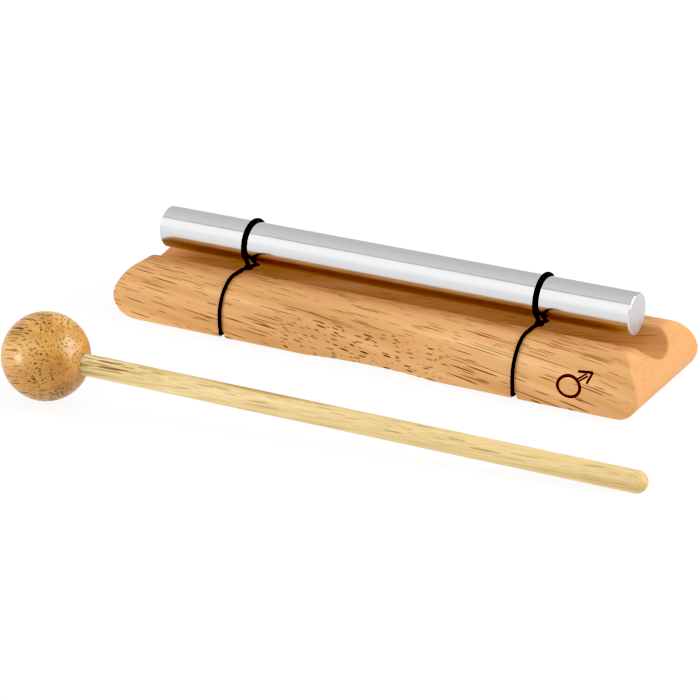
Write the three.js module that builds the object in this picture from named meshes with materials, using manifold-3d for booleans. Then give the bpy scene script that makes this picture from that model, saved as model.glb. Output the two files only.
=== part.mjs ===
// Energy chime: a tuned rod held over a carved wooden base by two elastic cords, with its mallet.
// Millimetres, +Z up, the rod along X. The origin is the middle of the base's underside.

import * as THREE from 'three';
import { mergeVertices } from 'three/addons/utils/BufferGeometryUtils.js';
import Module from 'manifold-3d';

// Clearance between pieces that touch, and how far a cutter reaches past what it cuts
const FIT_GAP = 0.3;
const CUT_PAST = 2;

// Base block: its long sides and its ends each have a rounded profile, widest at the waist
const BASE_LENGTH = 172.2;
const BASE_WIDTH = 45.1;
const BASE_HEIGHT = 17.1;
const WAIST_HEIGHT = 7.2;
const SIDE_SHOULDER = 8.5;
const SIDE_FULLNESS = 1.9;
const SIDE_FOOT = 1.2;
const END_SHOULDER = 7.3;
const END_FULLNESS = 1.6;
const END_FOOT = 7;

// Cove groove under the rod
const GROOVE_RADIUS = 10.3;
const GROOVE_DEPTH = 5.1;
const LIP_EASE = 0.5;

// Finger scoops, a shallow round hollow in the front face and in the back face; degrees off upright
const SCOOP_RADIUS = 115;
const SCOOP_DEPTH = 3;
const SCOOP_LEAN = 12;

// Rod, with its axis above the lips of the groove
const ROD_DIAMETER = 12.7;
const ROD_LENGTH = 155;
const ROD_LIFT = 6.25;
const ROD_CHAMFER = 0.4;
const ROD_SIDEWAYS = -1.6;

// Elastic cords: drawn thin round the base, pressed flat in the eye, whose strand over the rod stands aside
const RING_CORD_DIAMETER = 1;
const EYE_CORD_WIDTH = 1.4;
const EYE_CORD_THICKNESS = 0.9;
const EYE_SIDEWAYS = -1.1;
const CORD_SPACING = 96.3;
const CORD_MIDDLE = 0.2;
const KERF_DEPTH = 2;

// Knots that gather the ring and the eye
const KNOT_LENGTH = 3.2;
const KNOT_THICKNESS = 2;
const KNOT_INSIDE_LIP = 3.3;
const KNOT_DROP = 0.4;

// Mallet, lying on the table in front of the base
const BALL_DIAMETER = 25.4;
const STICK_DIAMETER = 6.25;
const STICK_LENGTH = 179;
const STICK_SOCKET_DEPTH = 16;
const STICK_CHAMFER = 0.6;
const MALLET_X = -67.9;
const MALLET_Y = -83.8;
const MALLET_TURN = 7.2;

// Facets
const ROUND_FACETS = 64;
const ARC_FACETS = 16;
const CORD_SIDES = 8;
const KNOT_FACETS = 10;

const halfLength = BASE_LENGTH / 2;
const halfWidth = BASE_WIDTH / 2;
const shoulderHeight = BASE_HEIGHT - WAIST_HEIGHT;
const rodRadius = ROD_DIAMETER / 2;
const rodAxisHeight = BASE_HEIGHT + ROD_LIFT;
const grooveAxisHeight = BASE_HEIGHT - GROOVE_DEPTH + GROOVE_RADIUS;
const ringSeat = RING_CORD_DIAMETER / 2 + FIT_GAP;
const ballRadius = BALL_DIAMETER / 2;
const stickRadius = STICK_DIAMETER / 2;
const quarterTurn = Math.PI / 2;

const blockWood = new THREE.MeshStandardMaterial({ color: '#d39a5e', roughness: 0.6, metalness: 0 });
const ballWood = new THREE.MeshStandardMaterial({ color: '#b07b48', roughness: 0.5, metalness: 0 });
const dowelWood = new THREE.MeshStandardMaterial({ color: '#e6c487', roughness: 0.6, metalness: 0 });
const polishedMetal = new THREE.MeshStandardMaterial({ color: '#d9d9dc', roughness: 0.12, metalness: 1 });
const elastic = new THREE.MeshStandardMaterial({ color: '#0e0d0d', roughness: 0.85, metalness: 0 });

const wasm = await Module();
wasm.setup();

// Closed geometry to a solid that can be joined and cut, and back
function solidFrom(geometry) {
  geometry.deleteAttribute('normal');
  geometry.deleteAttribute('uv');
  const merged = mergeVertices(geometry);
  const vertProperties = new Float32Array(merged.attributes.position.array);
  const triVerts = new Uint32Array(merged.index.array);
  return new wasm.Manifold(new wasm.Mesh({ numProp: 3, vertProperties, triVerts }));
}

function geometryFrom(solid) {
  const mesh = solid.getMesh();
  const geometry = new THREE.BufferGeometry();
  geometry.setAttribute('position', new THREE.BufferAttribute(new Float32Array(mesh.vertProperties), 3));
  geometry.setIndex(new THREE.BufferAttribute(new Uint32Array(mesh.triVerts), 1));
  geometry.computeVertexNormals();
  return geometry;
}

function namedMesh(name, geometry, material) {
  const mesh = new THREE.Mesh(geometry, material);
  mesh.name = name;
  return mesh;
}

// A point of an ellipse about a centre, and an arc of such points
function arcPoint(centre, reachAcross, reachUp, angle) {
  return new THREE.Vector2(centre.x + reachAcross * Math.cos(angle), centre.y + reachUp * Math.sin(angle));
}

function arcPoints(centre, reachAcross, reachUp, from, to, count) {
  const points = [];
  for (let i = 0; i <= count; i += 1) {
    points.push(arcPoint(centre, reachAcross, reachUp, from + ((to - from) * i) / count));
  }
  return points;
}

// A rounded shoulder from the waist up to the flat top, or a line that keeps outside it.
// Fullness 2 is an ellipse, less is flatter.
function shoulderPoints(half, reach, fullness, outside, count) {
  const points = [];
  for (let i = 0; i <= count; i += 1) {
    const angle = (quarterTurn * i) / count;
    const across = half - reach + (reach + outside) * Math.cos(angle) ** (2 / fullness);
    const up = WAIST_HEIGHT + (shoulderHeight + outside) * Math.sin(angle) ** (2 / fullness);
    points.push(new THREE.Vector2(across, up));
  }
  return points;
}

function sideProfile(half, shoulder, fullness, foot) {
  const footCentre = new THREE.Vector2(half - foot, WAIST_HEIGHT);
  const right = [
    ...arcPoints(footCentre, foot, WAIST_HEIGHT, -quarterTurn, 0, ARC_FACETS / 2).slice(0, -1),
    ...shoulderPoints(half, shoulder, fullness, 0, ARC_FACETS),
  ];
  const left = right.map((p) => new THREE.Vector2(-p.x, p.y)).reverse();
  return new THREE.Shape([...right, ...left]);
}

function extruded(shape, depth) {
  return new THREE.ExtrudeGeometry(shape, { depth, bevelEnabled: false, curveSegments: ARC_FACETS });
}

// A profile drawn in (Y, Z) and run along X, centred on the YZ plane
function alongX(shape, length) {
  const geometry = extruded(shape, length);
  geometry.translate(0, 0, -length / 2);
  const turn = new THREE.Matrix4().makeBasis(
    new THREE.Vector3(0, 1, 0),
    new THREE.Vector3(0, 0, 1),
    new THREE.Vector3(1, 0, 0),
  );
  return geometry.applyMatrix4(turn);
}

// Half the groove's width at a height
function grooveHalfWidth(height) {
  return Math.sqrt(GROOVE_RADIUS ** 2 - (grooveAxisHeight - height) ** 2);
}

const lipHalfWidth = grooveHalfWidth(BASE_HEIGHT);

function grooveCutter() {
  const edge = lipHalfWidth + LIP_EASE;
  const easeHeight = BASE_HEIGHT - LIP_EASE;
  const startAngle = -Math.asin((grooveAxisHeight - easeHeight) / GROOVE_RADIUS);
  const shape = new THREE.Shape();
  shape.moveTo(-edge, BASE_HEIGHT);
  shape.lineTo(-edge, BASE_HEIGHT + CUT_PAST);
  shape.lineTo(edge, BASE_HEIGHT + CUT_PAST);
  shape.lineTo(edge, BASE_HEIGHT);
  shape.absarc(0, grooveAxisHeight, GROOVE_RADIUS, startAngle, -Math.PI - startAngle, true);
  return solidFrom(alongX(shape, BASE_LENGTH + CUT_PAST));
}

// The hollow is a slice of a leaning drum that reaches into the face
function scoopCutter(side) {
  const reach = SCOOP_DEPTH + CUT_PAST;
  const halfAngle = Math.acos(1 - reach / SCOOP_RADIUS);
  const shape = new THREE.Shape();
  shape.absarc(0, 0, SCOOP_RADIUS, quarterTurn - halfAngle, quarterTurn + halfAngle);
  const geometry = extruded(shape, BASE_HEIGHT + 2 * CUT_PAST);
  geometry.translate(0, SCOOP_DEPTH - SCOOP_RADIUS - halfWidth, -CUT_PAST - WAIST_HEIGHT);
  const leanPerHeight = -Math.tan(THREE.MathUtils.degToRad(SCOOP_LEAN));
  geometry.applyMatrix4(new THREE.Matrix4().makeShear(0, 0, 0, 0, leanPerHeight, 0));
  geometry.translate(0, 0, WAIST_HEIGHT);
  if (side > 0) {
    geometry.rotateZ(Math.PI);
  }
  return solidFrom(geometry);
}

// A saw cut across the underside
function kerfCutter(x) {
  const width = RING_CORD_DIAMETER + 2 * FIT_GAP;
  const geometry = new THREE.BoxGeometry(width, BASE_WIDTH + CUT_PAST, 2 * KERF_DEPTH);
  geometry.translate(x, 0, 0);
  return solidFrom(geometry);
}

const leftKerfX = CORD_MIDDLE - CORD_SPACING / 2;
const rightKerfX = CORD_MIDDLE + CORD_SPACING / 2;

function makeBase() {
  const sideShape = sideProfile(halfWidth, SIDE_SHOULDER, SIDE_FULLNESS, SIDE_FOOT);
  const endShape = sideProfile(halfLength, END_SHOULDER, END_FULLNESS, END_FOOT);
  const sides = alongX(sideShape, BASE_LENGTH + CUT_PAST);
  const ends = alongX(endShape, BASE_WIDTH + CUT_PAST);
  ends.rotateZ(-quarterTurn);
  let block = solidFrom(sides).intersect(solidFrom(ends));
  block = block.subtract(grooveCutter());
  block = block.subtract(scoopCutter(-1));
  block = block.subtract(scoopCutter(1));
  block = block.subtract(kerfCutter(leftKerfX));
  block = block.subtract(kerfCutter(rightKerfX));
  return namedMesh('base', geometryFrom(block), blockWood);
}

function makeRod() {
  const end = ROD_LENGTH / 2;
  const profile = [
    new THREE.Vector2(0, -end),
    new THREE.Vector2(rodRadius - ROD_CHAMFER, -end),
    new THREE.Vector2(rodRadius, -end + ROD_CHAMFER),
    new THREE.Vector2(rodRadius, end - ROD_CHAMFER),
    new THREE.Vector2(rodRadius - ROD_CHAMFER, end),
    new THREE.Vector2(0, end),
  ];
  const mesh = namedMesh('chime_rod', new THREE.LatheGeometry(profile, ROUND_FACETS), polishedMetal);
  mesh.rotation.z = -quarterTurn;
  mesh.position.set(ROD_SIDEWAYS, 0, rodAxisHeight);
  return mesh;
}

// A curve whose sections stand at its own points, close together only where it bends
class StationCurve extends THREE.CatmullRomCurve3 {
  getUtoTmapping(u) {
    return u;
  }
}

function cordAlong(points, width, thickness) {
  const section = new THREE.Shape();
  section.absellipse(0, 0, width / 2, thickness / 2, 0, 2 * Math.PI);
  const geometry = new THREE.ExtrudeGeometry(section, {
    steps: points.length - 1,
    extrudePath: new StationCurve(points),
    curveSegments: CORD_SIDES / 2,
  });
  return solidFrom(geometry);
}

// Inside each lip a knot gathers the two strands that go over the rod and under it
const lipStrandHeight = BASE_HEIGHT + ringSeat;
const knot = new THREE.Vector2(lipHalfWidth - KNOT_INSIDE_LIP, lipStrandHeight - KNOT_DROP);
const rodCentre = new THREE.Vector2(0, rodAxisHeight);
const wrapRadius = rodRadius + FIT_GAP + EYE_CORD_THICKNESS / 2;

// From the back knot round the rod to the front knot: over it, which stands aside, or under it
function strandRoundRod(x, over) {
  const toKnot = knot.clone().sub(rodCentre);
  const knotAngle = Math.atan2(toKnot.y, toKnot.x);
  const spread = Math.acos(wrapRadius / toKnot.length());
  const back = over ? knotAngle + spread : knotAngle - spread;
  const front = over ? Math.PI - back : -Math.PI - back;
  const count = over ? ARC_FACETS : ARC_FACETS / 4;
  const arcX = over ? x + EYE_SIDEWAYS : x;
  const arc = arcPoints(rodCentre, wrapRadius, wrapRadius, back, front, count);
  return [
    new THREE.Vector3(x, knot.x, knot.y),
    ...arc.map((p) => new THREE.Vector3(arcX, p.x, p.y)),
    new THREE.Vector3(x, -knot.x, knot.y),
  ];
}

// From the back knot over the lip, down the back face and into the kerf
function strandDownFace() {
  const kerfAngle = -Math.asin((WAIST_HEIGHT - KERF_DEPTH) / WAIST_HEIGHT);
  const foot = new THREE.Vector2(halfWidth - SIDE_FOOT, WAIST_HEIGHT);
  const kerfEdge = new THREE.Vector2(foot.x + SIDE_FOOT * Math.cos(kerfAngle), KERF_DEPTH);
  const bends = ARC_FACETS / 2;
  return [
    knot,
    new THREE.Vector2(lipHalfWidth + LIP_EASE, lipStrandHeight),
    ...shoulderPoints(halfWidth, SIDE_SHOULDER, SIDE_FULLNESS, ringSeat, bends).reverse(),
    arcPoint(foot, SIDE_FOOT + ringSeat, WAIST_HEIGHT + ringSeat, kerfAngle / 2),
    ...arcPoints(kerfEdge, ringSeat, ringSeat, 0, -quarterTurn, bends / 2),
  ];
}

// One unbroken piece: a ring round the base, and an eye round the rod between the knots
function makeCord(name, kerfX) {
  const backLine = strandDownFace().map((p) => new THREE.Vector3(kerfX, p.x, p.y));
  const frontLine = backLine.map((p) => new THREE.Vector3(p.x, -p.y, p.z)).reverse();
  let cord = cordAlong([...backLine, ...frontLine], RING_CORD_DIAMETER, RING_CORD_DIAMETER);
  for (const over of [true, false]) {
    cord = cord.add(cordAlong(strandRoundRod(kerfX, over), EYE_CORD_WIDTH, EYE_CORD_THICKNESS));
  }
  for (const side of [-1, 1]) {
    const lump = new THREE.SphereGeometry(KNOT_THICKNESS / 2, KNOT_FACETS, KNOT_FACETS);
    lump.scale(KNOT_LENGTH / KNOT_THICKNESS, 1, 1);
    lump.translate(kerfX, side * knot.x, knot.y);
    cord = cord.add(solidFrom(lump));
  }
  return namedMesh(name, geometryFrom(cord), elastic);
}

// The ball's hole and the dowel in it share the mallet's axis, which starts at the ball's centre
const holeRadius = stickRadius + FIT_GAP;
const stickStart = ballRadius - STICK_SOCKET_DEPTH;
const tipCentre = stickStart + STICK_LENGTH - stickRadius;

function makeBall() {
  const mouthAngle = Math.acos(holeRadius / ballRadius);
  const centre = new THREE.Vector2(0, 0);
  const surface = arcPoints(centre, ballRadius, ballRadius, -quarterTurn, mouthAngle, 2 * ARC_FACETS);
  surface[0].x = 0;
  const holeFloor = stickStart - FIT_GAP;
  const profile = [...surface, new THREE.Vector2(holeRadius, holeFloor), new THREE.Vector2(0, holeFloor)];
  return namedMesh('mallet_head', new THREE.LatheGeometry(profile, ROUND_FACETS), ballWood);
}

function makeStick() {
  const centre = new THREE.Vector2(0, tipCentre);
  const tip = arcPoints(centre, stickRadius, stickRadius, 0, quarterTurn, ARC_FACETS / 2);
  tip[tip.length - 1].x = 0;
  const profile = [
    new THREE.Vector2(0, stickStart),
    new THREE.Vector2(stickRadius - STICK_CHAMFER, stickStart),
    new THREE.Vector2(stickRadius, stickStart + STICK_CHAMFER),
    ...tip,
  ];
  return namedMesh('mallet_stick', new THREE.LatheGeometry(profile, ROUND_FACETS / 2), dowelWood);
}

// The ball and the tip of the stick both rest on the table
function makeMallet() {
  const mallet = new THREE.Group();
  mallet.add(makeBall(), makeStick());
  mallet.children.forEach((piece) => {
    piece.rotation.z = -quarterTurn;
  });
  const dip = Math.asin((ballRadius - stickRadius) / tipCentre);
  mallet.rotation.set(0, dip, THREE.MathUtils.degToRad(MALLET_TURN), 'ZYX');
  mallet.position.set(MALLET_X, MALLET_Y, ballRadius);
  return mallet;
}

const chime = new THREE.Group();
chime.add(makeBase());
chime.add(makeRod());
chime.add(makeCord('left_cord', leftKerfX));
chime.add(makeCord('right_cord', rightKerfX));
chime.add(makeMallet());

export default chime;
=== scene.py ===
"""Looks of the energy chime: its camera, light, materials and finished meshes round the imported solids."""

import math

import bmesh
import bpy
import numpy as np
from mathutils import Matrix, Vector
from mathutils.bvhtree import BVHTree


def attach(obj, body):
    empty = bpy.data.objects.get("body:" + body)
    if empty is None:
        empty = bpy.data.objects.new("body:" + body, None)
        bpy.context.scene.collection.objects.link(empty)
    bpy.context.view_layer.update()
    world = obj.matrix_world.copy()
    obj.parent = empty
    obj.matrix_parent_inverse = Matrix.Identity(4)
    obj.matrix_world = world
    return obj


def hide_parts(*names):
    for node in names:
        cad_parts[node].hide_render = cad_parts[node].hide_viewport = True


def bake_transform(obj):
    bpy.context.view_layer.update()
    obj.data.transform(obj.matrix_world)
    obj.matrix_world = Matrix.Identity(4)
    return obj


MM = 0.001

# The view of the photograph, in millimetres and degrees
CAMERA_PLACE = (343.13, -655.62, 301.42)
CAMERA_TARGET = (3.28, -35.71, 11.18)
CAMERA_ROLL = -0.08
CAMERA_LENS = 138.18
SENSOR_WIDTH = 36.0

# Sizes that the solids have too, in millimetres
BASE_WIDTH = 45.1
BASE_HEIGHT = 17.1
WAIST_HEIGHT = 7.2
SIDE_SHOULDER = 8.5
SIDE_FULLNESS = 1.9
SIDE_FOOT = 1.2
GROOVE_RADIUS = 10.3
GROOVE_DEPTH = 5.1
LIP_EASE = 0.5
ROD_DIAMETER = 12.7
ROD_LENGTH = 155.0
ROD_LIFT = 6.25
ROD_CHAMFER = 0.4
ROD_SIDEWAYS = -1.6
RING_CORD = 1.0
EYE_CORD_WIDTH = 1.4
EYE_CORD_THICKNESS = 0.9
EYE_SIDEWAYS = -1.1
CORD_SPACING = 96.3
CORD_MIDDLE = 0.2
KNOT_INSIDE_LIP = 3.3
KNOT_DROP = 0.4
KERF_DEPTH = 2.0
BALL_DIAMETER = 25.4
STICK_DIAMETER = 6.25
STICK_LENGTH = 179.0
STICK_SOCKET = 16.0
STICK_CHAMFER = 0.6
MALLET_X = -67.9
MALLET_Y = -83.8
MALLET_TURN = 7.2

# How close a cord lies to what it touches, and the dowel to its hole
CORD_GAP = 0.06
SOCKET_GAP = 0.08

half_width = BASE_WIDTH / 2
shoulder_height = BASE_HEIGHT - WAIST_HEIGHT
rod_radius = ROD_DIAMETER / 2
rod_axis = BASE_HEIGHT + ROD_LIFT
groove_axis = BASE_HEIGHT - GROOVE_DEPTH + GROOVE_RADIUS
lip_half = math.sqrt(GROOVE_RADIUS**2 - (groove_axis - BASE_HEIGHT) ** 2)
quarter = math.pi / 2

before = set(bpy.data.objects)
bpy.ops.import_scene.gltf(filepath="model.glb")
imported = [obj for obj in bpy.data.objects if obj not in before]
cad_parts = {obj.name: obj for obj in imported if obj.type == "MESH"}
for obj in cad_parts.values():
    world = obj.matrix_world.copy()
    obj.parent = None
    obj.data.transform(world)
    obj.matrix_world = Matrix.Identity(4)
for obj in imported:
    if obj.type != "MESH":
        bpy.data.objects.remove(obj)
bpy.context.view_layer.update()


# Shader helpers


def feed(tree, socket, value):
    """Links a socket's source, or sets its constant."""
    if isinstance(value, bpy.types.NodeSocket):
        tree.links.new(value, socket)
    else:
        socket.default_value = value


def calc(tree, operation, a, b=0.0, c=0.0, clamp=False):
    node = tree.nodes.new("ShaderNodeMath")
    node.operation = operation
    node.use_clamp = clamp
    for socket, value in zip(node.inputs, (a, b, c)):
        feed(tree, socket, value)
    return node.outputs[0]


def combine(tree, operation, a, b=(0, 0, 0), c=(0, 0, 0)):
    """Vector arithmetic."""
    node = tree.nodes.new("ShaderNodeVectorMath")
    node.operation = operation
    for socket, value in zip(node.inputs, (a, b, c)):
        feed(tree, socket, value)
    return node.outputs["Value" if operation in ("DOT_PRODUCT", "LENGTH") else "Vector"]


def blend_colours(tree, share, a, b, mode="MIX"):
    node = tree.nodes.new("ShaderNodeMix")
    node.data_type = "RGBA"
    node.blend_type = mode
    feed(tree, node.inputs["Factor"], share)
    feed(tree, node.inputs["A"], a)
    feed(tree, node.inputs["B"], b)
    return next(s for s in node.outputs if s.type == "RGBA")


def fade(tree, value, start, end, low=0.0, high=1.0):
    """low at start, high at end, smooth between."""
    node = tree.nodes.new("ShaderNodeMapRange")
    node.interpolation_type = "SMOOTHSTEP"
    sockets = ("Value", "From Min", "From Max", "To Min", "To Max")
    for name, given in zip(sockets, (value, start, end, low, high)):
        feed(tree, node.inputs[name], given)
    return node.outputs["Result"]


def noise(tree, vector, scale=1.0, detail=2.0, rough=0.5):
    node = tree.nodes.new("ShaderNodeTexNoise")
    feed(tree, node.inputs["Vector"], vector)
    feed(tree, node.inputs["Scale"], scale)
    feed(tree, node.inputs["Detail"], detail)
    feed(tree, node.inputs["Roughness"], rough)
    return node


def stretched_noise(tree, vector, stretch, detail, rough=0.5):
    """Noise drawn out along the grain: stretch is its count per unit along X, Y and Z."""
    return noise(tree, combine(tree, "MULTIPLY", vector, stretch), detail=detail, rough=rough).outputs["Fac"]


def cells(tree, vector):
    node = tree.nodes.new("ShaderNodeTexVoronoi")
    feed(tree, node.inputs["Vector"], vector)
    feed(tree, node.inputs["Scale"], 1.0)
    return node


def srgb(red, green, blue):
    """A colour of 0 to 255 steps as the linear colour that shaders use."""
    steps = np.array([red, green, blue]) / 255
    linear = np.where(steps <= 0.04045, steps / 12.92, ((steps + 0.055) / 1.055) ** 2.4)
    return (*linear.tolist(), 1.0)


def new_material(name):
    material = bpy.data.materials.new(name)
    material.use_nodes = True
    tree = material.node_tree
    return material, tree, tree.nodes["Principled BSDF"]


def object_mm(tree, turn=(0, 0, 0)):
    """The place on the object in millimetres, turned so that X runs along the grain, and the plain normal."""
    place = tree.nodes.new("ShaderNodeTexCoord")
    mapping = tree.nodes.new("ShaderNodeMapping")
    tree.links.new(place.outputs["Object"], mapping.inputs["Vector"])
    mapping.inputs["Scale"].default_value = (1 / MM,) * 3
    mapping.inputs["Rotation"].default_value = turn
    return mapping.outputs["Vector"], place.outputs["Normal"]


def add_bump(tree, shader, height, depth, strength):
    """Relief of a depth in millimetres."""
    node = tree.nodes.new("ShaderNodeBump")
    node.inputs["Strength"].default_value = strength
    node.inputs["Distance"].default_value = depth * MM
    tree.links.new(height, node.inputs["Height"])
    tree.links.new(node.outputs["Normal"], shader.inputs["Normal"])


def grain_turn(along):
    """The turn that lays X along a grain direction."""
    u = Vector(along).normalized()
    v = Vector((0, 0, 1)).cross(u).normalized()
    w = u.cross(v)
    return tuple(Matrix((u, v, w)).to_euler("XYZ"))


def split(tree, vector):
    node = tree.nodes.new("ShaderNodeSeparateXYZ")
    tree.links.new(vector, node.inputs["Vector"])
    return node.outputs


def pack(tree, x, y, z=0.0):
    node = tree.nodes.new("ShaderNodeCombineXYZ")
    for socket, value in zip(node.inputs, (x, y, z)):
        feed(tree, socket, value)
    return node.outputs["Vector"]


def tint(tree, colour, shades):
    """A colour times a shade each for red, green and blue."""
    return blend_colours(tree, 1.0, colour, pack(tree, *shades), "MULTIPLY")


# Wood: counts of its patterns per millimetre along and across the grain, and where noise turns to shades

WAVE_STRETCH = (0.016, 0.05, 0.05)
FIBRE_STRETCH = (0.06, 3.0, 3.0)
GROWTH_STRETCH = (0.012, 0.17, 0.17)
CROWD_STRETCH = (0.03, 0.16, 0.16)
GROWTH_DARK = (0.3, 0.5)
GROWTH_LIGHT = (0.5, 0.72)
FIBRE_SPAN = (0.32, 0.62)
END_GRAIN = (0.45, 0.85)

# Vessels: the shift from one layer to the next, the shares of the mean width and depth, and the soft edge
LAYER_SHIFT = (7.3, 3.1, 5.7)
LEAST_WIDTH = 0.25
WIDTH_SPREAD = 0.5
PALEST_VESSEL = 0.5
VESSEL_EDGE = (0.8, 1.1)

# Surface: how much rougher fibres and pores are, and how far fibres stand up beside the pores' depth
FIBRE_ROUGHNESS = 0.16
PORE_ROUGHNESS = 0.25
FIBRE_RELIEF = 0.25


def wander(tree, place, reach):
    """The same place, shifted across the grain by slow waves."""
    waves = noise(tree, combine(tree, "MULTIPLY", place, WAVE_STRETCH), detail=1.0).outputs["Color"]
    shift = combine(tree, "MULTIPLY", combine(tree, "SUBTRACT", waves, (0.5,) * 3), (0, reach, reach))
    return combine(tree, "ADD", place, shift)


def fibres(tree, place):
    return stretched_noise(tree, place, FIBRE_STRETCH, detail=3.0, rough=0.6)


def growth_colour(tree, place, fibre, tones, flecks):
    """Broad bands of dark, middle and light wood, with fine fibres over them: flecks are their shades."""
    growth = stretched_noise(tree, place, GROWTH_STRETCH, detail=3.0)
    dark, middle, light = tones
    colour = blend_colours(tree, fade(tree, growth, *GROWTH_DARK), dark, middle)
    colour = blend_colours(tree, fade(tree, growth, *GROWTH_LIGHT), colour, light)
    shade = fade(tree, fibre, *FIBRE_SPAN, *flecks)
    return tint(tree, colour, (shade, shade, shade))


def vessels(tree, place, size, spacing, depth, seed, flat, crowd):
    """Dark vessels of a mean (length, width): 1 vessel to each stretch of the grain of a mean spacing.
    flat ones lie in the surface, others run through the wood as tubes that each face cuts."""
    length, width = size
    spot = combine(tree, "MULTIPLY", place, (width / (length * spacing), 1 / spacing, 1 / spacing))
    vessel = cells(tree, combine(tree, "ADD", spot, tuple(shift * seed for shift in LAYER_SHIFT)))
    vessel.voronoi_dimensions = "2D" if flat else "3D"
    chance = tree.nodes.new("ShaderNodeSeparateColor")
    tree.links.new(vessel.outputs["Color"], chance.inputs["Color"])
    share = width / spacing
    reach = calc(tree, "MULTIPLY_ADD", chance.outputs["Red"], share * WIDTH_SPREAD, share * LEAST_WIDTH)
    reach = calc(tree, "MULTIPLY", reach, crowd)
    palest = depth * PALEST_VESSEL
    darkness = calc(tree, "MULTIPLY_ADD", chance.outputs["Green"], depth - palest, palest)
    inside = fade(tree, calc(tree, "DIVIDE", vessel.outputs["Distance"], reach), *VESSEL_EDGE, 1.0, 0.0)
    return calc(tree, "MULTIPLY", inside, darkness)


def finish_wood(tree, shader, colour, pore_tone, pores, fibre, rough, gloss):
    tree.links.new(blend_colours(tree, pores, colour, pore_tone), shader.inputs["Base Color"])
    roughness = calc(tree, "MULTIPLY_ADD", fibre, FIBRE_ROUGHNESS, rough - FIBRE_ROUGHNESS / 2)
    roughness = calc(tree, "MULTIPLY_ADD", pores, PORE_ROUGHNESS, roughness, clamp=True)
    tree.links.new(roughness, shader.inputs["Roughness"])
    height = calc(tree, "SUBTRACT", calc(tree, "MULTIPLY", fibre, FIBRE_RELIEF), pores)
    add_bump(tree, shader, height, depth=0.12, strength=0.35)
    shader.inputs["Specular IOR Level"].default_value = gloss


# Ball and dowel: the dowel is streaked beside the ball, and the ball has painted light above and shade below

TURNED_WANDER = 2.4
TURNED_FLECKS = (0.88, 1.06)
TURNED_CROWD_SPAN = (0.35, 0.65)
TURNED_CROWD = (0.8, 1.15)
UPPER_SIDE = (0.1, 0.35)
STREAK = (14.0, 0.46)
STREAK_SPACING = 0.52
STREAK_DEPTH = 0.8
STREAK_SEED = 4
# Painted light at the top of the ball and painted shade at its bottom: shades of red, green and blue
PAINTED_LIGHT_PALE = (1.22, 1.26, 1.36)
PAINTED_SHADE_BROWN = (0.82, 0.75, 0.65)


def turned_wood(name, along, tones, end_shade, pore_tone, layers, rough, gloss, busy=None, painted_shade_side=None):
    """Straight-grained wood, so each side shows its own cut of the vessels, and end grain is darker.
    busy is a stretch of the grain whose upper side is streaked. The last argument is the way to painted
    shade, browner; the opposite side gets painted light, paler."""
    material, tree, shader = new_material(name)
    spot, normal = object_mm(tree, grain_turn(along))
    place = wander(tree, spot, TURNED_WANDER)
    fibre = fibres(tree, place)
    colour = growth_colour(tree, place, fibre, tones, TURNED_FLECKS)
    grain = tuple(Vector(along).normalized())
    endwise = calc(tree, "ABSOLUTE", combine(tree, "DOT_PRODUCT", normal, grain))
    colour = tint(tree, colour, [fade(tree, endwise, *END_GRAIN, 1.0, shade) for shade in end_shade])
    # Painted light and shade: paler on the upper side, browner on the lower side
    if painted_shade_side:
        toward_shade = combine(tree, "DOT_PRODUCT", normal, painted_shade_side)
        painted_light_and_shade = [fade(tree, toward_shade, -1.0, 1.0, *shades) for shades in zip(PAINTED_LIGHT_PALE, PAINTED_SHADE_BROWN)]
        colour = tint(tree, colour, painted_light_and_shade)
    crowd = stretched_noise(tree, place, CROWD_STRETCH, detail=1.0)
    crowd = fade(tree, crowd, *TURNED_CROWD_SPAN, *TURNED_CROWD)
    pores = 0.0
    if busy:
        above = fade(tree, split(tree, normal)["Z"], *UPPER_SIDE)
        there = calc(tree, "MULTIPLY", fade(tree, split(tree, spot)["X"], *busy, 1.0, 0.0), above)
        streaks = vessels(tree, place, STREAK, STREAK_SPACING, STREAK_DEPTH, STREAK_SEED, False, 1.0)
        pores = calc(tree, "MULTIPLY", streaks, there)
    for seed, (size, spacing, depth) in enumerate(layers):
        layer = vessels(tree, place, size, spacing, depth, seed, False, crowd)
        pores = calc(tree, "MAXIMUM", pores, layer)
    finish_wood(tree, shader, colour, pore_tone, pores, fibre, rough, gloss)
    return material


# Block: its grain follows its skin and dips to the right, faster the further right; the scoops cut it short

BLOCK_TONES = srgb(202, 149, 97), srgb(218, 167, 114), srgb(232, 186, 135)
BLOCK_PORE = srgb(88, 38, 6)
BLOCK_FLECKS = (0.94, 1.03)
BLOCK_WANDER = 1.6
BLOCK_CROWD_SPAN = (0.32, 0.55)
BLOCK_CROWD = (0.82, 1.04)
GRAIN_DIP = 0.112
GRAIN_DIP_GROWTH = 0.00025
GRAIN_DIP_BEND = 0.0000027
BACK_SHIFT = 400.0
LINE_LAYERS = (((15.0, 0.29), 1.6, 1.0), ((7.0, 0.27), 1.35, 1.0), ((3.2, 0.25), 1.6, 0.9))
LINE_SEED = 0

# Short vessels in the scoops, whose border is ragged
SCOOP_SPAN = (25.0, 31.0)
SCOOP_TOP = (10.0, 13.0)
RAGGED_SCALE = 0.12
RAGGED_REACH = 12.0
DOT_LAYERS = (((2.2, 0.36), 1.2, 1.0), ((1.2, 0.3), 1.3, 0.9))
DOT_SEED = 5

# Speckled end grain with cut vessels, where lines on the skin run out
LINES_END = (0.25, 0.6)
SPECKLE_SCALE = 1.3
SPECKLE_SPAN = (0.35, 0.65)
END_TONES = srgb(200, 145, 92), srgb(211, 156, 101)
END_VESSEL = (9.0, 0.34)
END_SPACING = 1.1
END_DEPTH = 0.3
END_SEED = 9

# Painted shade on the block's top and in the groove, under the rod: colour darker and redder towards the top,
# counted along the skin; and fainter vessels in the groove
PAINTED_SHADE_RISE = (20.0, 31.0)
TOP_PAINTED_SHADE = (0.84, 0.71, 0.67)
GROOVE_LEVEL = 9.0
GROOVE_PORES = 0.45


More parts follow.
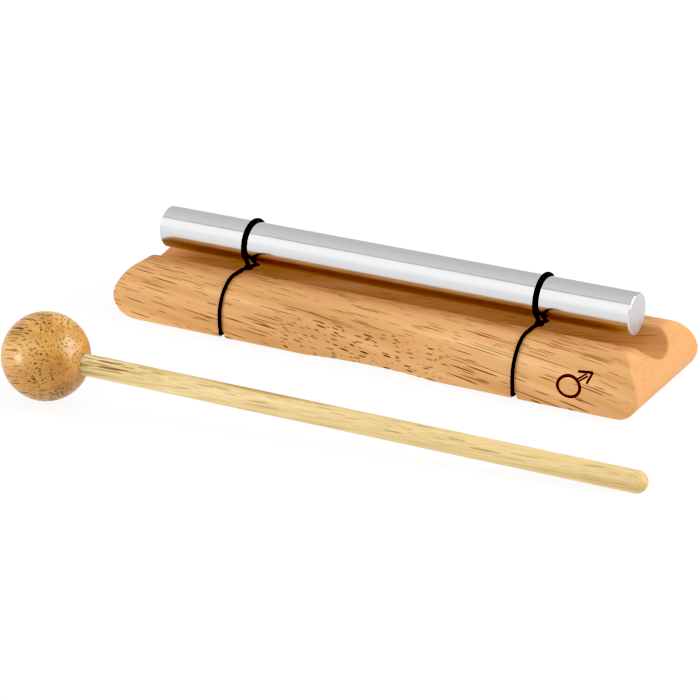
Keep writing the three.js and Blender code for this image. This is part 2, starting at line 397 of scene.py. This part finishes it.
def carved_wood():
    material, tree, shader = new_material("block_wood")
    spot, normal = object_mm(tree)
    x, y, z = split(tree, spot)
    aside = calc(tree, "ABSOLUTE", y)
    inwards = calc(tree, "SUBTRACT", half_width, aside)
    in_groove = calc(tree, "LESS_THAN", aside, lip_half)
    in_groove = calc(tree, "MULTIPLY", in_groove, calc(tree, "GREATER_THAN", z, GROOVE_LEVEL))
    height = calc(tree, "MAXIMUM", z, calc(tree, "MULTIPLY", in_groove, BASE_HEIGHT))
    skin = calc(tree, "ADD", height, inwards)
    dip = calc(tree, "MULTIPLY_ADD", x, GRAIN_DIP_BEND, GRAIN_DIP_GROWTH)
    dip = calc(tree, "MULTIPLY", x, calc(tree, "MULTIPLY_ADD", x, dip, GRAIN_DIP))
    up = calc(tree, "ADD", skin, dip)
    along = calc(tree, "MULTIPLY_ADD", calc(tree, "SIGN", y), BACK_SHIFT, x)
    place = wander(tree, pack(tree, along, up), BLOCK_WANDER)
    fibre = fibres(tree, place)
    colour = growth_colour(tree, place, fibre, BLOCK_TONES, BLOCK_FLECKS)
    # Painted shade: darker and redder towards the top and in the groove
    colour = tint(tree, colour, [fade(tree, skin, *PAINTED_SHADE_RISE, 1.0, shade) for shade in TOP_PAINTED_SHADE])

    endwise = calc(tree, "ABSOLUTE", split(tree, normal)["X"])
    end = fade(tree, endwise, *END_GRAIN)
    speckle = noise(tree, spot, SPECKLE_SCALE, detail=3.0, rough=0.6).outputs["Fac"]
    end_tone = blend_colours(tree, fade(tree, speckle, *SPECKLE_SPAN), *END_TONES)
    colour = blend_colours(tree, end, colour, end_tone)
    fibre = calc(tree, "MULTIPLY_ADD", end, calc(tree, "SUBTRACT", speckle, fibre), fibre)

    ragged = noise(tree, spot, RAGGED_SCALE).outputs["Fac"]
    ragged = calc(tree, "MULTIPLY_ADD", ragged, RAGGED_REACH, -RAGGED_REACH / 2)
    width = calc(tree, "ADD", calc(tree, "ABSOLUTE", x), ragged)
    scooped = fade(tree, width, *SCOOP_SPAN, 1.0, 0.0)
    scooped = calc(tree, "MULTIPLY", scooped, fade(tree, z, *SCOOP_TOP, 1.0, 0.0))
    lines_here = calc(tree, "SUBTRACT", 1.0, scooped)

    crowd = stretched_noise(tree, place, CROWD_STRETCH, detail=1.0)
    crowd = fade(tree, crowd, *BLOCK_CROWD_SPAN, *BLOCK_CROWD)
    pores = 0.0
    for layers, here, first in ((LINE_LAYERS, lines_here, LINE_SEED), (DOT_LAYERS, scooped, DOT_SEED)):
        for seed, (size, spacing, depth) in enumerate(layers, first):
            layer = vessels(tree, place, size, spacing, depth, seed, True, crowd)
            pores = calc(tree, "MAXIMUM", pores, calc(tree, "MULTIPLY", layer, here))
    pores = calc(tree, "MULTIPLY", pores, fade(tree, endwise, *LINES_END, 1.0, 0.0))
    cut_ends = vessels(tree, spot, END_VESSEL, END_SPACING, END_DEPTH, END_SEED, False, 1.0)
    pores = calc(tree, "MAXIMUM", pores, calc(tree, "MULTIPLY", cut_ends, end))
    pores = calc(tree, "MULTIPLY", pores, fade(tree, in_groove, 0.0, 1.0, 1.0, GROOVE_PORES))
    finish_wood(tree, shader, colour, BLOCK_PORE, pores, fibre, rough=0.52, gloss=0.3)
    return material


# The ball's grain, and how far the dowel's grain leaves its axis to the front and down
BALL_GRAIN = (0.932, -0.285, 0.222)
DOWEL_SKEW = (-0.03, -0.02)

mallet_turn = math.radians(MALLET_TURN)
dowel_grain = (math.cos(mallet_turn), math.sin(mallet_turn) + DOWEL_SKEW[0], DOWEL_SKEW[1])

block_wood = carved_wood()

ball_wood = turned_wood(
    "ball_wood",
    along=BALL_GRAIN,
    tones=(srgb(180, 130, 64), srgb(201, 151, 81), srgb(215, 169, 96)),
    end_shade=(0.93, 0.89, 0.83),
    pore_tone=srgb(82, 38, 5),
    layers=(((14, 0.4), 0.76, 1.0), ((9, 0.3), 0.62, 0.9)),
    rough=0.31,
    gloss=0.75,
    # The way to the ball's painted shade, mostly down; the opposite side gets painted light
    painted_shade_side=(0.35, -0.22, -0.91),
)

dowel_wood = turned_wood(
    "dowel_wood",
    along=dowel_grain,
    tones=(srgb(186, 153, 97), srgb(222, 196, 142), srgb(240, 219, 167)),
    end_shade=(0.84, 0.79, 0.70),
    pore_tone=srgb(100, 64, 20),
    layers=(((20, 0.28), 0.85, 0.55), ((10, 0.2), 0.5, 0.5)),
    rough=0.48,
    gloss=0.35,
    busy=(-47.0, -40.0),
)


# Metal, cord and scorched wood

NOISE_SPAN = (0.3, 0.7)
POLISH_STRETCH = (0.05, 6.0, 6.0)
POLISH_ROUGHNESS = (0.12, 0.18)
POLISH_RELIEF = 0.02
UNEVEN_STRETCH = (0.09, 0.22, 0.22)
CUT_STRETCH = (1, 0.6, 0.6)
CUT_TONES = srgb(193, 192, 194), srgb(206, 205, 207)
CUT_ROUGHNESS = (0.36, 0.46)
LATHE_RINGS = 40.0
THREAD_SCALE = 5.0
THREAD_SPAN = (0.35, 0.7)
THREAD_TONES = srgb(3, 3, 3), srgb(12, 10, 10)
THREAD_ROUGHNESS = (0.45, 0.7)
CHAR_STRETCH = (0.5, 2.2, 2.2)
CHAR_SPAN = (0.42, 0.75)
CHAR_TONES = srgb(58, 24, 9), srgb(108, 58, 28)
CHAR_ROUGHNESS = (0.65, 0.85)


def polished_metal():
    """Bright drawn bar: faint lengthwise polishing marks and a slightly uneven surface."""
    material, tree, shader = new_material("polished_metal")
    place, _ = object_mm(tree)
    lines = stretched_noise(tree, place, POLISH_STRETCH, detail=3.0)
    waves = stretched_noise(tree, place, UNEVEN_STRETCH, detail=1.0)
    shader.inputs["Base Color"].default_value = (0.69, 0.69, 0.70, 1)
    shader.inputs["Metallic"].default_value = 1.0
    tree.links.new(fade(tree, lines, *NOISE_SPAN, *POLISH_ROUGHNESS), shader.inputs["Roughness"])
    height = calc(tree, "MULTIPLY_ADD", lines, POLISH_RELIEF, waves)
    add_bump(tree, shader, height, depth=0.008, strength=0.5)
    return material


def turned_metal():
    """The rod's cut ends: fine rings left by the lathe."""
    material, tree, shader = new_material("turned_metal")
    place, _ = object_mm(tree)
    middle = combine(tree, "MULTIPLY", combine(tree, "SUBTRACT", place, (0, 0, rod_axis)), (0, 1, 1))
    rings = calc(tree, "SINE", calc(tree, "MULTIPLY", combine(tree, "LENGTH", middle), LATHE_RINGS))
    grey = stretched_noise(tree, place, CUT_STRETCH, detail=2.0)
    tree.links.new(blend_colours(tree, grey, *CUT_TONES), shader.inputs["Base Color"])
    shader.inputs["Metallic"].default_value = 0.85
    tree.links.new(fade(tree, grey, *NOISE_SPAN, *CUT_ROUGHNESS), shader.inputs["Roughness"])
    add_bump(tree, shader, rings, depth=0.01, strength=0.15)
    return material


def covered_elastic():
    """Black textile cover of an elastic cord."""
    material, tree, shader = new_material("covered_elastic")
    place, _ = object_mm(tree)
    threads = noise(tree, place, THREAD_SCALE, detail=3.0, rough=0.6).outputs["Fac"]
    colour = blend_colours(tree, fade(tree, threads, *THREAD_SPAN), *THREAD_TONES)
    tree.links.new(colour, shader.inputs["Base Color"])
    tree.links.new(fade(tree, threads, *NOISE_SPAN, *THREAD_ROUGHNESS), shader.inputs["Roughness"])
    shader.inputs["Specular IOR Level"].default_value = 0.12
    add_bump(tree, shader, threads, depth=0.08, strength=0.6)
    return material


def burnt_wood():
    """Wood scorched by a hot stamp."""
    material, tree, shader = new_material("burnt_wood")
    place, _ = object_mm(tree)
    char = stretched_noise(tree, place, CHAR_STRETCH, detail=3.0, rough=0.6)
    colour = blend_colours(tree, fade(tree, char, *CHAR_SPAN), *CHAR_TONES)
    tree.links.new(colour, shader.inputs["Base Color"])
    tree.links.new(fade(tree, char, *NOISE_SPAN, *CHAR_ROUGHNESS), shader.inputs["Roughness"])
    shader.inputs["Specular IOR Level"].default_value = 0.15
    add_bump(tree, shader, char, depth=0.05, strength=0.5)
    return material


metal = polished_metal()
metal_ends = turned_metal()
elastic = covered_elastic()
scorch = burnt_wood()


# Mesh helpers


def new_piece(name, vertices, faces, materials, sharp_angle=None):
    """A smooth-shaded mesh object from points in millimetres."""
    mesh = bpy.data.meshes.new(name)
    mesh.from_pydata([tuple(float(x) * MM for x in v) for v in vertices], [], faces)
    mesh.validate()
    for material in materials:
        mesh.materials.append(material)
    mesh.polygons.foreach_set("use_smooth", [True] * len(mesh.polygons))
    if sharp_angle is not None:
        mesh.set_sharp_from_angle(angle=math.radians(sharp_angle))
    piece = bpy.data.objects.new(name, mesh)
    bpy.context.scene.collection.objects.link(piece)
    return piece


def arc(centre, reach, start, end, count):
    """Points of a circle or ellipse arc about a centre."""
    angles = np.linspace(start, end, count + 1)
    return [(centre[0] + reach[0] * math.cos(a), centre[1] + reach[1] * math.sin(a)) for a in angles]


def lathe(name, profile, matrix, materials, segments, sharp_angle, pick=None):
    """A profile of (radius, height) points turned about Z, then placed. It starts and ends on the axis.
    pick gives the material of a band of faces, from the band's number and the last one's."""
    vertices = [(0, 0, profile[0][1])]
    for radius, height in profile[1:-1]:
        for i in range(segments):
            angle = 2 * math.pi * i / segments
            vertices.append((radius * math.cos(angle), radius * math.sin(angle), height))
    vertices.append((0, 0, profile[-1][1]))
    rings = len(profile) - 2
    faces, bands = [], []
    for i in range(segments):
        j = (i + 1) % segments
        faces.append((0, 1 + j, 1 + i))
        bands.append(0)
        for k in range(rings - 1):
            low, high = 1 + k * segments, 1 + (k + 1) * segments
            faces.append((low + i, low + j, high + j, high + i))
            bands.append(k + 1)
        top = 1 + (rings - 1) * segments
        faces.append((top + i, top + j, len(vertices) - 1))
        bands.append(rings)
    placed = [matrix @ Vector(v) for v in vertices]
    piece = new_piece(name, placed, faces, materials, sharp_angle)
    if pick:
        piece.data.polygons.foreach_set("material_index", [pick(b, rings) for b in bands])
    return piece


# Base: the solid's own shape with its edges sanded soft

VOXEL = 0.38
SANDING = 0.5
SANDING_PASSES = 3
KEPT_FACES = 0.22


def sanded_base():
    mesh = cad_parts["base"].data.copy()
    mesh.name = "base_block"
    mesh.materials.clear()
    block = bpy.data.objects.new("base_block", mesh)
    bpy.context.scene.collection.objects.link(block)
    remesh = block.modifiers.new("even_mesh", "REMESH")
    remesh.mode = "VOXEL"
    remesh.voxel_size = VOXEL * MM
    sand = block.modifiers.new("sanding", "SMOOTH")
    sand.factor = SANDING
    sand.iterations = SANDING_PASSES
    thin = block.modifiers.new("fewer_faces", "DECIMATE")
    thin.ratio = KEPT_FACES
    graph = bpy.context.evaluated_depsgraph_get()
    final = bpy.data.meshes.new_from_object(block.evaluated_get(graph))
    block.modifiers.clear()
    block.data = final
    final.name = "base_block"
    final.materials.clear()
    final.materials.append(block_wood)
    final.polygons.foreach_set("use_smooth", [True] * len(final.polygons))
    return block


base_block = sanded_base()
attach(base_block, "base")
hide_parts("base")


# Rod: its edges are rounded, with a narrow band on both sides that keeps the shading of the faces flat

ROD_SEGMENTS = 128
ROD_SHARP_ANGLE = 40
EDGE_STEPS = 6
EDGE_HOLD = 0.04


def end_faces(band, last):
    """The second material for the two bands at each end of the rod, the first for the rest."""
    return 1 if band in (0, 1, last - 1, last) else 0


def make_rod():
    end = ROD_LENGTH / 2
    edge = arc((rod_radius - ROD_CHAMFER, end - ROD_CHAMFER), (ROD_CHAMFER,) * 2, 0, quarter, EDGE_STEPS)
    near = ROD_CHAMFER + EDGE_HOLD
    upper = [(rod_radius, 0.0), (rod_radius, end - near), *edge, (rod_radius - near, end), (0, end)]
    profile = [(r, -h) for r, h in reversed(upper)][:-1] + upper
    lie = Matrix.Translation((ROD_SIDEWAYS, 0, rod_axis)) @ Matrix.Rotation(quarter, 4, "Y")
    return lathe("rod", profile, lie, [metal, metal_ends], ROD_SEGMENTS, ROD_SHARP_ANGLE, end_faces)


rod = make_rod()
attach(rod, "rod")
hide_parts("chime_rod")


# Mallet: the ball's hole has an eased rim and is a little deeper than the dowel needs

BALL_SEGMENTS = 96
BALL_STEPS = 56
HOLE_EASE = 0.25
EASE_BEND = (0.3, 0.1)
HOLE_SPARE = 0.3
STICK_SEGMENTS = 64
STICK_RINGS = 24
NOSE_STEPS = 16
WOOD_SHARP_ANGLE = 60


def mallet_matrix():
    start = BALL_DIAMETER / 2 - STICK_SOCKET
    tip_centre = start + STICK_LENGTH - STICK_DIAMETER / 2
    dip = math.asin((BALL_DIAMETER - STICK_DIAMETER) / 2 / tip_centre)
    place = Matrix.Translation((MALLET_X, MALLET_Y, BALL_DIAMETER / 2))
    turn = Matrix.Rotation(mallet_turn, 4, "Z")
    return place @ turn @ Matrix.Rotation(dip + quarter, 4, "Y")


def make_ball():
    radius = BALL_DIAMETER / 2
    hole = STICK_DIAMETER / 2 + SOCKET_GAP
    mouth = math.acos((hole + HOLE_EASE) / radius)
    outside = arc((0, 0), (radius, radius), -quarter, mouth, BALL_STEPS)
    outside[0] = (0, -radius)
    rim = outside[-1][1]
    bend = (hole + HOLE_EASE * EASE_BEND[0], rim - HOLE_EASE * EASE_BEND[1])
    bottom = radius - STICK_SOCKET - HOLE_SPARE
    profile = [*outside, bend, (hole, rim - HOLE_EASE), (hole, bottom), (0, bottom)]
    return lathe("mallet_ball", profile, mallet_matrix(), [ball_wood], BALL_SEGMENTS, WOOD_SHARP_ANGLE)


def make_stick():
    radius = STICK_DIAMETER / 2
    start = BALL_DIAMETER / 2 - STICK_SOCKET
    end = start + STICK_LENGTH
    body = [(radius, h) for h in np.linspace(start + STICK_CHAMFER, end - radius, STICK_RINGS)]
    nose = arc((0, end - radius), (radius, radius), 0, quarter, NOSE_STEPS)
    profile = [(0, start), (radius - STICK_CHAMFER, start), *body[:-1], *nose[:-1], (0, end)]
    return lathe("mallet_dowel", profile, mallet_matrix(), [dowel_wood], STICK_SEGMENTS, WOOD_SHARP_ANGLE)


ball = make_ball()
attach(ball, "mallet")
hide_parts("mallet_head")

stick = make_stick()
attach(stick, "mallet")
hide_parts("mallet_stick")

# The photograph's rod mirrors the table without the mallet
for piece in (ball, stick):
    piece.visible_glossy = False


# Cords: each follows the solid's route, in lengths that move with the base, with the rod or between them

CORD_STEP = 0.28
CORD_SIDES = 16
BRAID_STRANDS = 5
BRAID_PITCH = 1.7
BRAID_RELIEF = 0.11
MEAN_RIDGE = 0.6
SHOULDER_STEPS = 16
CORNER_STEPS = 6
OVER_STEPS = 40
UNDER_STEPS = 12

# Knots are drawn tighter than the solids' ones, with turns of the cord that slant round them
KNOT_LENGTH = 2.8
KNOT_THICKNESS = 1.6
KNOT_RELIEF = 0.06
KNOT_TURNS = 3
KNOT_SLANT = 7
KNOT_ROWS = 14
KNOT_COLUMNS = 24

ring_seat = RING_CORD / 2 + CORD_GAP
lip_strand = BASE_HEIGHT + ring_seat
knot = (lip_half - KNOT_INSIDE_LIP, lip_strand - KNOT_DROP)
wrap = rod_radius + CORD_GAP + EYE_CORD_THICKNESS / 2


def shoulder_line(outside):
    """Along the block's rounded side, at a distance outside it: from its top to its waist, in (Y, Z)."""
    points = []
    for angle in np.linspace(quarter, 0, SHOULDER_STEPS + 1):
        across = max(math.cos(angle), 0) ** (2 / SIDE_FULLNESS)
        up = max(math.sin(angle), 0) ** (2 / SIDE_FULLNESS)
        y = half_width - SIDE_SHOULDER + (SIDE_SHOULDER + outside) * across
        points.append((y, WAIST_HEIGHT + (shoulder_height + outside) * up))
    return points


def face_line():
    """From the knot over the lip and down the face into the kerf, in (Y, Z) for the back."""
    kerf_angle = -math.asin((WAIST_HEIGHT - KERF_DEPTH) / WAIST_HEIGHT)
    foot = half_width - SIDE_FOOT
    reach = (SIDE_FOOT + ring_seat, WAIST_HEIGHT + ring_seat)
    low = arc((foot, WAIST_HEIGHT), reach, 0, kerf_angle, CORNER_STEPS)
    edge = (foot + SIDE_FOOT * math.cos(kerf_angle), KERF_DEPTH)
    return [
        knot,
        (lip_half + LIP_EASE, lip_strand),
        *shoulder_line(ring_seat),
        *low[1:-1],
        *arc(edge, (ring_seat, ring_seat), 0, -quarter, CORNER_STEPS),
        (0, KERF_DEPTH - ring_seat),
    ]


def rod_line(x, over):
    """From the back knot round the rod to the front knot: over it, which stands aside, or under it."""
    to_knot = (knot[0], knot[1] - rod_axis)
    angle = math.atan2(to_knot[1], to_knot[0])
    spread = math.acos(wrap / math.hypot(*to_knot))
    back = angle + spread if over else angle - spread
    front = math.pi - back if over else -math.pi - back
    round_rod = arc((0, rod_axis), (wrap, wrap), back, front, OVER_STEPS if over else UNDER_STEPS)
    line = resample([knot, *round_rod, (-knot[0], knot[1])], CORD_STEP)
    along = CORD_STEP * np.arange(len(line))
    free = math.sqrt(math.hypot(*to_knot) ** 2 - wrap**2)
    share = np.clip(np.minimum(along, along[::-1]) / free, 0, 1)
    aside = EYE_SIDEWAYS * share * share * (3 - 2 * share) if over else 0 * share
    return np.column_stack([x + aside, line])


def travel(points):
    """The distance along a line from its start to each of its points."""
    return np.concatenate([[0], np.cumsum(np.linalg.norm(np.diff(points, axis=0), axis=1))])


def resample(points, step):
    """The same line with points at even steps, ends kept."""
    points = np.array(points, float)
    lengths = travel(points)
    count = max(2, round(lengths[-1] / step))
    spots = np.linspace(0, lengths[-1], count + 1)
    return np.stack([np.interp(spots, lengths, points[:, i]) for i in range(points.shape[1])], axis=1)


def braid(points, width, thickness):
    """A closed braided tube along points; its width lies along X."""
    along = np.gradient(points, axis=0)
    along /= np.linalg.norm(along, axis=1)[:, None]
    across = np.array([1.0, 0, 0]) - along * along[:, :1]
    across /= np.linalg.norm(across, axis=1)[:, None]
    out = np.cross(along, across)
    angles = 2 * math.pi * np.arange(CORD_SIDES) / CORD_SIDES
    vertices = []
    for p, a, o, s in zip(points, across, out, travel(points)):
        q = 2 * math.pi * s / BRAID_PITCH
        ridge = np.maximum(np.cos(BRAID_STRANDS * angles + q), np.cos(BRAID_STRANDS * angles - q))
        swell = 1 + BRAID_RELIEF * (ridge - MEAN_RIDGE)
        for angle, g in zip(angles, swell):
            vertices.append(p + g * (a * width / 2 * math.cos(angle) + o * thickness / 2 * math.sin(angle)))
    faces = []
    for k in range(len(points) - 1):
        for i in range(CORD_SIDES):
            j = (i + 1) % CORD_SIDES
            low, high = k * CORD_SIDES, (k + 1) * CORD_SIDES
            faces.append((low + i, low + j, high + j, high + i))
    faces.append(tuple(reversed(range(CORD_SIDES))))
    last = (len(points) - 1) * CORD_SIDES
    faces.append(tuple(range(last, last + CORD_SIDES)))
    return vertices, faces


def lump(centre):
    """A small longish knot with the turns of the cord showing."""
    radius = KNOT_THICKNESS / 2
    stretch = KNOT_LENGTH / KNOT_THICKNESS
    vertices = [(centre[0], centre[1], centre[2] - radius)]
    for r in range(1, KNOT_ROWS):
        v = math.pi * r / KNOT_ROWS
        for c in range(KNOT_COLUMNS):
            u = 2 * math.pi * c / KNOT_COLUMNS
            g = radius * (1 + KNOT_RELIEF * math.sin(KNOT_TURNS * u + KNOT_SLANT * v))
            spot = (stretch * g * math.sin(v) * math.cos(u), g * math.sin(v) * math.sin(u), -g * math.cos(v))
            vertices.append(tuple(a + b for a, b in zip(centre, spot)))
    vertices.append((centre[0], centre[1], centre[2] + radius))
    faces = []
    for c in range(KNOT_COLUMNS):
        d = (c + 1) % KNOT_COLUMNS
        faces.append((0, 1 + d, 1 + c))
        for r in range(KNOT_ROWS - 2):
            low, high = 1 + r * KNOT_COLUMNS, 1 + (r + 1) * KNOT_COLUMNS
            faces.append((low + c, low + d, high + d, high + c))
        top = 1 + (KNOT_ROWS - 2) * KNOT_COLUMNS
        faces.append((top + c, top + d, len(vertices) - 1))
    return vertices, faces


def closed_piece(name, parts, material):
    """One object of several closed shells, faces outward."""
    vertices, faces = [], []
    for points, polygons in parts:
        start = len(vertices)
        vertices += [tuple(p) for p in points]
        faces += [tuple(start + i for i in f) for f in polygons]
    piece = new_piece(name, vertices, faces, [material])
    mesh = bmesh.new()
    mesh.from_mesh(piece.data)
    bmesh.ops.recalc_face_normals(mesh, faces=mesh.faces)
    mesh.to_mesh(piece.data)
    mesh.free()
    return piece


def cord_piece(name, parts):
    return closed_piece(name, parts, elastic)


def make_cord(node, kerf_x):
    """A ring on the base, two strands that stretch between ring and eye, and the eye round the rod."""
    line = resample(face_line(), CORD_STEP)
    back = np.column_stack([np.full(len(line), kerf_x), line])
    front = back * (1, -1, 1)
    lip = next(i for i, p in enumerate(line) if p[0] > lip_half + LIP_EASE)
    ring = np.concatenate([back[lip:], front[lip:-1][::-1]])
    ring_piece = cord_piece(node + "_ring", [braid(ring, RING_CORD, RING_CORD)])
    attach(ring_piece, "base")
    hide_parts(node)
    for side, strand in (("back", back[: lip + 1]), ("front", front[: lip + 1])):
        piece = cord_piece(f"{node}_{side}_strand", [braid(strand, RING_CORD, RING_CORD)])
        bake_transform(piece)
    parts = [braid(rod_line(kerf_x, over), EYE_CORD_WIDTH, EYE_CORD_THICKNESS) for over in (True, False)]
    parts += [lump((kerf_x, side * knot[0], knot[1])) for side in (-1, 1)]
    eye = cord_piece(node + "_eye", parts)
    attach(eye, "cords")
    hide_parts(node)


make_cord("left_cord", CORD_MIDDLE - CORD_SPACING / 2)
make_cord("right_cord", CORD_MIDDLE + CORD_SPACING / 2)


# The burnt sign on the front: a ring with an arrow, laid on the wood

SIGN_CENTRE = (65.45, 7.6)
SIGN_REACH = (3.4, 3.05)
RING_STROKE = 0.86
SHAFT_STROKE = 0.46
BARB_STROKE = 0.66
SIGN_PROUD = 0.03
SIGN_DEPTH = 0.3
SIGN_STEP = 0.4
SIGN_SEGMENTS = 64
SHAFT_LINES = (((67.6, 10.0), (70.3, 12.0)), ((68.1, 9.5), (70.8, 11.5)))
ARROW_TIP = (72.05, 12.55)
ARROW_BARBS = ((67.65, 12.2), (70.75, 9.4))


def stroke(line, width, skin, closed=False):
    """A thin bar of scorched wood along (X, Z) points: a little proud of the skin, the rest sunk in it."""
    line = np.array(line, float)
    along = np.roll(line, -1, 0) - np.roll(line, 1, 0) if closed else np.gradient(line, axis=0)
    along /= np.linalg.norm(along, axis=1)[:, None]
    side = np.stack([-along[:, 1], along[:, 0]], axis=1) * width / 2
    vertices = []
    for left, right in zip(line - side, line + side):
        proud = ((left, -SIGN_PROUD), (right, -SIGN_PROUD))
        sunk = ((right, SIGN_DEPTH), (left, SIGN_DEPTH))
        for (x, z), depth in (*proud, *sunk):
            vertices.append((x, skin(x, z) + depth, z))
    count = len(line)
    faces = []
    for i in range(count if closed else count - 1):
        here, there = 4 * i, 4 * ((i + 1) % count)
        faces += [(here + k, here + (k + 1) % 4, there + (k + 1) % 4, there + k) for k in range(4)]
    if not closed:
        last = 4 * (count - 1)
        faces += [(0, 1, 2, 3), (last + 3, last + 2, last + 1, last)]
    return vertices, faces


def make_sign():
    tree = BVHTree.FromObject(base_block, bpy.context.evaluated_depsgraph_get())

    def skin(x, z):
        """Where the block's front lies."""
        return tree.ray_cast(Vector((x, -2 * BASE_WIDTH, z)) * MM, Vector((0, 1, 0)))[0].y / MM

    circle = arc(SIGN_CENTRE, SIGN_REACH, 0, 2 * math.pi, SIGN_SEGMENTS)[:-1]
    parts = [stroke(circle, RING_STROKE, skin, True)]
    parts += [stroke(resample(line, SIGN_STEP), SHAFT_STROKE, skin) for line in SHAFT_LINES]
    barbs = [resample([barb, ARROW_TIP], SIGN_STEP) for barb in ARROW_BARBS]
    parts += [stroke(line, BARB_STROKE, skin) for line in barbs]
    return closed_piece("burnt_sign", parts, scorch)


sign = make_sign()
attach(sign, "base")


# Floor, a white table that glows a little, as in a product studio

FLOOR_REACH = 20000
TABLE_GLOW = 0.86
WHITE = (1, 1, 1, 1)


def make_floor():
    near, far = -FLOOR_REACH, FLOOR_REACH
    corners = [(near, near, 0), (far, near, 0), (far, far, 0), (near, far, 0)]
    material, _, shader = new_material("pale_floor")
    shader.inputs["Base Color"].default_value = (0.12, 0.12, 0.12, 1)
    shader.inputs["Roughness"].default_value = 0.9
    shader.inputs["Emission Color"].default_value = WHITE
    shader.inputs["Emission Strength"].default_value = TABLE_GLOW
    floor = new_piece("floor", corners, [(0, 1, 2, 3)], [material])


# The studio: grey above, paler to the front, and a white panel at the front left with a dark rim

SKY_MIDDLE = 0.86
SKY_FRONT = -0.18
SKY_RIGHT = 0.65
SKY_SIDES = (-0.2, 0.5)
PANEL_LIGHT = 1.32
PANEL_FOOT = 1.1
PANEL_FADE = math.radians(30)
PANEL_TOP = math.radians(63)
PANEL_RIM = math.radians(6)
PANEL_LEFT = (-0.95, -0.85)
PANEL_RIGHT = (0.2, 0.35)
RIM_SHADE = 0.6

# Soft lights: the way to each from the object, its side in millimetres and its power in watts
BOX_DISTANCE = 1100
KEY_DIRECTION = (0.85, 0.33, 0.42)
KEY_SIZE = 800
KEY_POWER = 9.0
TOP_DIRECTION = (0.669, 0.228, 0.696)
TOP_SIZE = 650
TOP_POWER = 2.2
FILL_DIRECTION = (-0.63, -0.775, 0.04)
FILL_SIZE = 280
FILL_POWER = 3.5


def softbox(name, direction, size, power):
    """A square soft light that looks at the object from a direction."""
    data = bpy.data.lights.new(name, "AREA")
    data.size = size * MM
    data.energy = power
    light = bpy.data.objects.new(name, data)
    light.location = Vector(direction).normalized() * BOX_DISTANCE * MM
    light.rotation_mode = "QUATERNION"
    light.rotation_quaternion = (-light.location).to_track_quat("-Z", "Y")
    bpy.context.scene.collection.objects.link(light)
    return light


def flag_off(light, piece):
    """Keeps a light off one piece, as a black card does in a studio."""
    shaded = bpy.data.collections.new(light.name + "_flag")
    shaded.objects.link(piece)
    shaded.collection_objects[0].light_linking.link_state = "EXCLUDE"
    light.light_linking.receiver_collection = shaded


def make_surroundings():
    world = bpy.data.worlds.new("studio")
    world.use_nodes = True
    bpy.context.scene.world = world
    tree = world.node_tree
    place = tree.nodes.new("ShaderNodeTexCoord")
    x, y, z = split(tree, place.outputs["Generated"])
    sky = calc(tree, "MULTIPLY_ADD", y, SKY_FRONT, SKY_MIDDLE)
    sky = calc(tree, "MULTIPLY", sky, fade(tree, x, *SKY_SIDES, 1.0, SKY_RIGHT))
    height = calc(tree, "ARCTAN2", z, calc(tree, "MULTIPLY", y, -1.0))
    front = calc(tree, "GREATER_THAN", height, 0.0)
    span = calc(tree, "MULTIPLY", fade(tree, x, *PANEL_LEFT), fade(tree, x, *PANEL_RIGHT, 1.0, 0.0))
    panel = calc(tree, "MULTIPLY", calc(tree, "LESS_THAN", height, PANEL_TOP), front)
    rim = calc(tree, "MULTIPLY", calc(tree, "LESS_THAN", height, PANEL_TOP + PANEL_RIM), front)
    rim = fade(tree, calc(tree, "MULTIPLY", rim, span), 0.0, 1.0, 1.0, RIM_SHADE)
    sky = calc(tree, "MULTIPLY", sky, rim)
    shine = fade(tree, height, 0.0, PANEL_FADE, PANEL_FOOT, PANEL_LIGHT)
    lit = calc(tree, "MULTIPLY", panel, span)
    strength = calc(tree, "MULTIPLY_ADD", lit, calc(tree, "SUBTRACT", shine, sky), sky)
    tree.links.new(strength, tree.nodes["Background"].inputs["Strength"])
    tree.nodes["Background"].inputs["Color"].default_value = WHITE


def make_lights():
    softbox("key_box", KEY_DIRECTION, KEY_SIZE, KEY_POWER)
    softbox("top_box", TOP_DIRECTION, TOP_SIZE, TOP_POWER)
    fill = softbox("fill_box", FILL_DIRECTION, FILL_SIZE, FILL_POWER)
    flag_off(fill, rod)


def make_camera():
    data = bpy.data.cameras.new("photo_view")
    data.lens = CAMERA_LENS
    data.sensor_width = SENSOR_WIDTH
    camera = bpy.data.objects.new("photo_view", data)
    place, target = Vector(CAMERA_PLACE) * MM, Vector(CAMERA_TARGET) * MM
    look = (target - place).to_track_quat("-Z", "Y").to_matrix().to_4x4()
    roll = Matrix.Rotation(math.radians(CAMERA_ROLL), 4, "Z")
    camera.matrix_world = Matrix.Translation(place) @ look @ roll
    bpy.context.scene.collection.objects.link(camera)
    bpy.context.scene.camera = camera


BLACK_LEVEL = 0.05


def set_tones():
    """Plain tones with the blacks pulled down a little, as in a studio photograph."""
    settings = bpy.context.scene.view_settings
    settings.view_transform = "Standard"
    settings.use_curve_mapping = True
    settings.curve_mapping.black_level = (BLACK_LEVEL,) * 3
    settings.curve_mapping.update()


make_floor()
make_surroundings()
make_lights()
make_camera()
set_tones()
